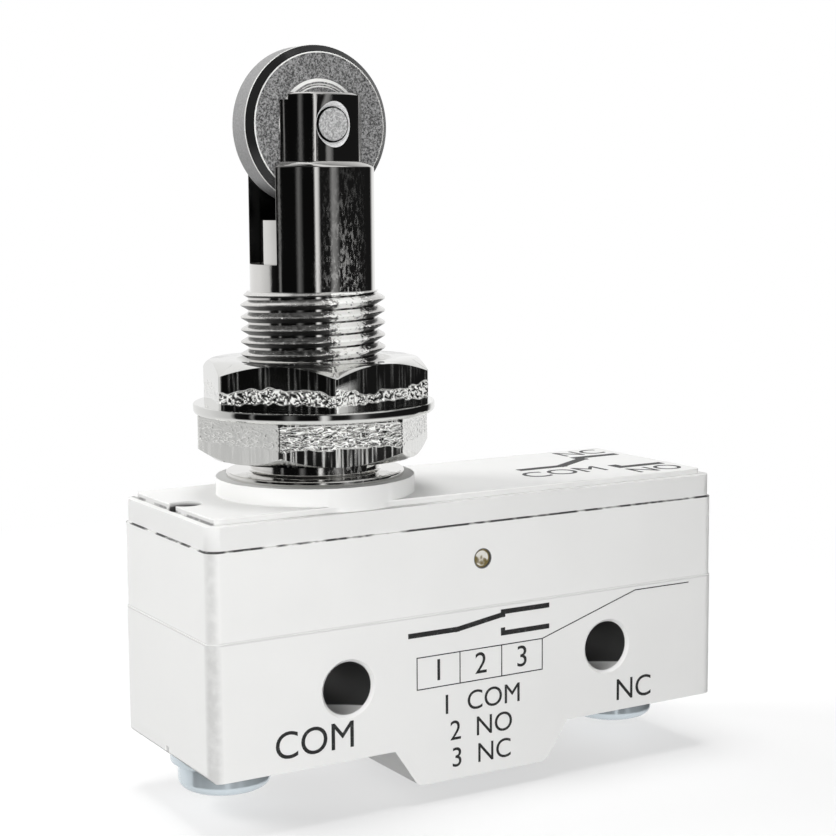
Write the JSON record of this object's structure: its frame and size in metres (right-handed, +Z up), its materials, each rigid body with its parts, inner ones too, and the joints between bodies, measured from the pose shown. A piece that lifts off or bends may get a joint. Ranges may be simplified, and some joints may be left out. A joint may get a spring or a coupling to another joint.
{
  "type": "roller plunger micro switch",
  "caption": "Snap-action micro switch with a threaded panel bushing, hex nuts and a sprung fork plunger carrying a cross roller.",
  "frame": {"origin": "midway between the axes of the two cross mounting holes, at half the thickness of the case", "axes": "+X along the case away from the bushing, +Y from the printed front to the back along the mounting holes, +Z up along the plunger"},
  "size_m": [0.0492, 0.0198, 0.0614],
  "materials": {
    "case_plastic": "moulded, fine satin",
    "cover_plastic": "moulded, fine satin",
    "nickel": "turned and bright nickel plated",
    "nut_nickel": "bright nickel plated, rough flats",
    "sintered_steel": "sintered, fine grain",
    "pin_steel": "riveted ends",
    "spring_steel": "drawn wire",
    "brass": "bare brass",
    "button_plastic": "moulded",
    "blade_copper": "rolled copper alloy",
    "silver": "silver contact",
    "zinc": "zinc plated, blue passivated"
  },
  "bodies": {
    "housing": {"case": "case_plastic", "cover": "cover_plastic", "bushing": "nickel", "lower_nut": "nut_nickel", "upper_nut": "nut_nickel", "panel_washer": "nut_nickel", "no_contact": "silver", "nc_contact": "silver", "com_terminal": "brass", "no_terminal": "brass", "nc_terminal": "brass", "terminal_screws": "zinc", "screw_washers": "zinc", "anchor_pin": "brass"},
    "plunger": {"plunger": "nickel", "roller_pin": "pin_steel"},
    "roller": {"roller": "sintered_steel"},
    "push_button": {"push_pin": "button_plastic", "spring_follower": "brass", "overtravel_spring": "spring_steel"},
    "contact_arm": {"snap_blade": "blade_copper", "blade_rivet": "brass", "moving_contact": "silver"}
  },
  "joints": [
    {"name": "plunger_slide", "type": "slide", "parent": "housing", "child": "plunger", "axis": [0, 0, 1], "range_m": [-0.004, 0], "stiffness_N_per_m": 800, "springref_m": 0.004, "deforming": ["overtravel_spring"]},
    {"name": "roller_spin", "type": "hinge", "parent": "plunger", "child": "roller", "pos_m": [-0.0109, 0, 0.04433], "axis": [0, 1, 0], "continuous": true},
    {"name": "button_slide", "type": "slide", "parent": "housing", "child": "push_button", "axis": [0, 0, 1], "range_m": [-0.0006, 0]},
    {"name": "blade_swing", "type": "hinge", "parent": "housing", "child": "contact_arm", "pos_m": [-0.019, 0, 0.0077], "axis": [0, 1, 0], "range_deg": [0, 0.9]}
  ],
  "couplings": [
    {"joint": "button_slide", "follows": "plunger_slide", "ratio": 0.15},
    {"joint": "blade_swing", "follows": "plunger_slide", "rad_per_m": -3.84}
  ]
}
